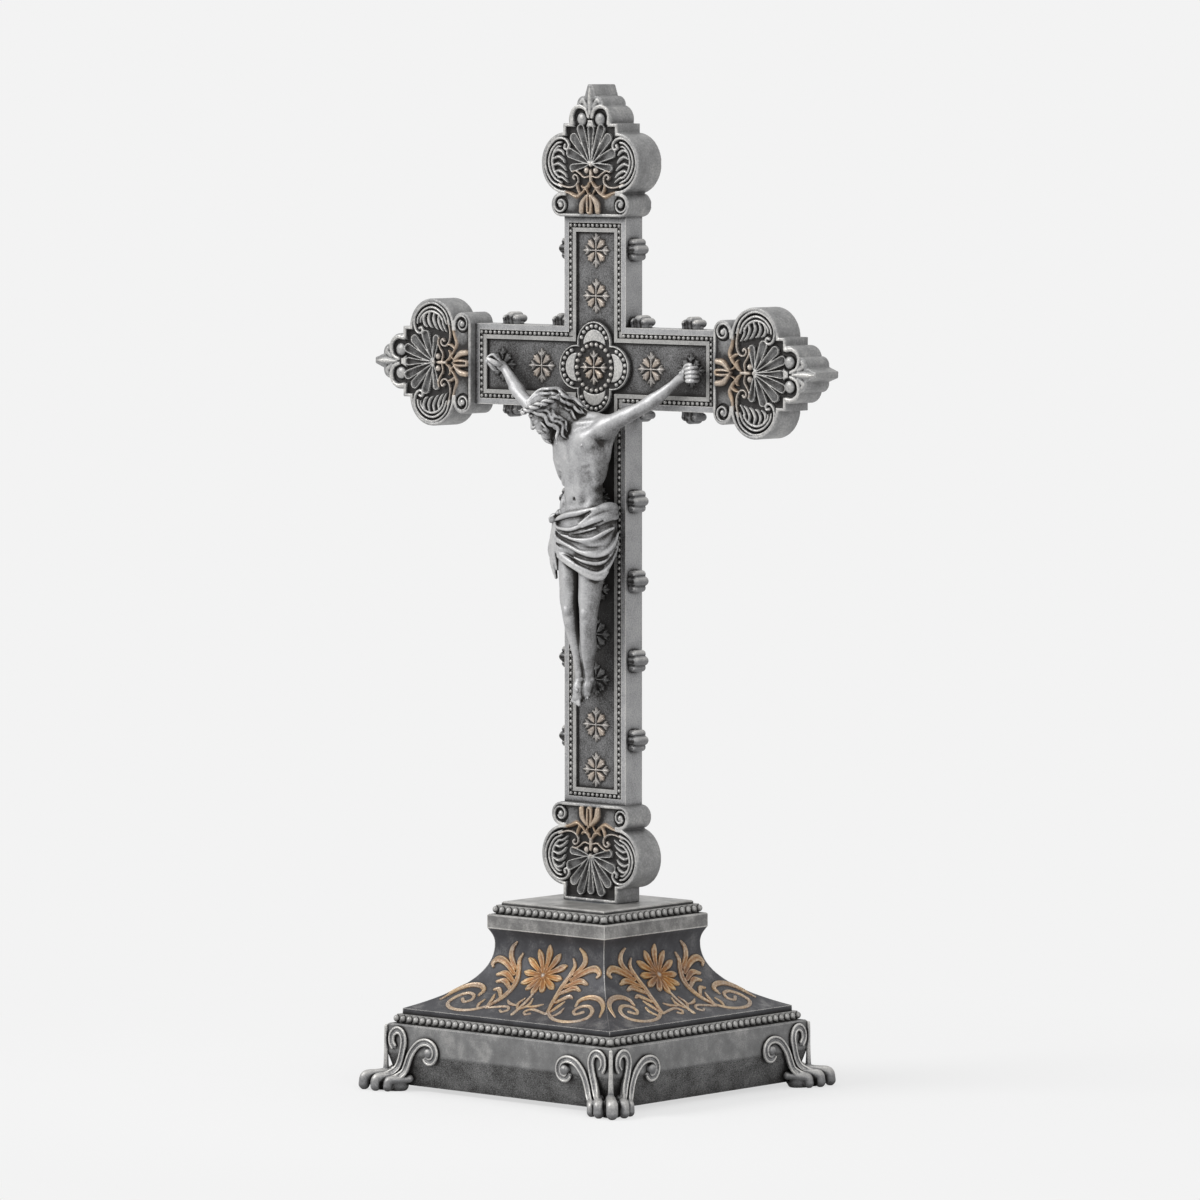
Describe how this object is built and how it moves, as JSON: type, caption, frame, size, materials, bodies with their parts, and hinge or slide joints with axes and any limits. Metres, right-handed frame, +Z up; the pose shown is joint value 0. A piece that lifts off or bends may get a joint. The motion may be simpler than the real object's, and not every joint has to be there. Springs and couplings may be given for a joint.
{
  "type": "standing crucifix",
  "caption": "Free-standing crucifix: cross with beaded borders, leaf-shaped ends and a cast figure, plugged into a square stepped base on paw feet.",
  "frame": {"origin": "centre of the base, on the surface it stands on", "axes": "+Z up along the upright, -Y the front that the figure faces, +X to the viewer's right"},
  "size_m": [0.2336, 0.1396, 0.4003],
  "materials": {
    "antique_silver": "antique silver, worn bright on raised edges, dark wash in hollows",
    "dark_silver": "antique silver with a heavy dark wash",
    "figure_silver": "smooth pale antique silver",
    "copper_gilt": "rubbed copper-gold paint",
    "pale_inlay": "polished pale silver",
    "steel": "plain zinc-plated steel"
  },
  "bodies": {
    "stand": {"plinth_block": "antique_silver", "paw_foot_front_left": "antique_silver", "paw_foot_front_right": "antique_silver", "paw_foot_back_left": "antique_silver", "paw_foot_back_right": "antique_silver", "paw_foot_pins": "steel", "plinth_bead_moulding": "antique_silver", "flared_body": "dark_silver", "floral_relief_front": "copper_gilt", "floral_relief_right": "copper_gilt", "floral_relief_back": "copper_gilt", "floral_relief_left": "copper_gilt", "cap_block": "antique_silver", "cap_bead_moulding": "antique_silver", "top_plate": "antique_silver", "socket_sleeve": "steel", "tie_washer": "steel", "tie_bolt": "steel"},
    "cross": {"cross_core": "antique_silver", "panel_frame_upper": "antique_silver", "panel_frame_lower": "antique_silver", "panel_frame_left": "antique_silver", "panel_frame_right": "antique_silver", "terminal_top": "antique_silver", "terminal_left": "antique_silver", "terminal_right": "antique_silver", "terminal_foot": "antique_silver", "palmette_top": "figure_silver", "palmette_left": "figure_silver", "palmette_right": "figure_silver", "palmette_foot": "figure_silver", "terminal_pins": "steel", "field_rosettes": "copper_gilt", "medallion_plate": "antique_silver", "medallion_inlays": "pale_inlay", "medallion_rosette": "copper_gilt", "upright_crockets": "antique_silver", "arm_crockets": "antique_silver", "foot_tenon": "steel", "tenon_pin": "steel", "corpus_body": "figure_silver", "corpus_arm_left": "figure_silver", "corpus_arm_right": "figure_silver", "thorn_crown": "figure_silver", "hand_nails": "steel", "foot_nail": "steel"}
  },
  "joints": [
    {"name": "cross_lift", "type": "slide", "parent": "stand", "child": "cross", "axis": [0, 0, 1], "range_m": [0, 0.03]}
  ]
}
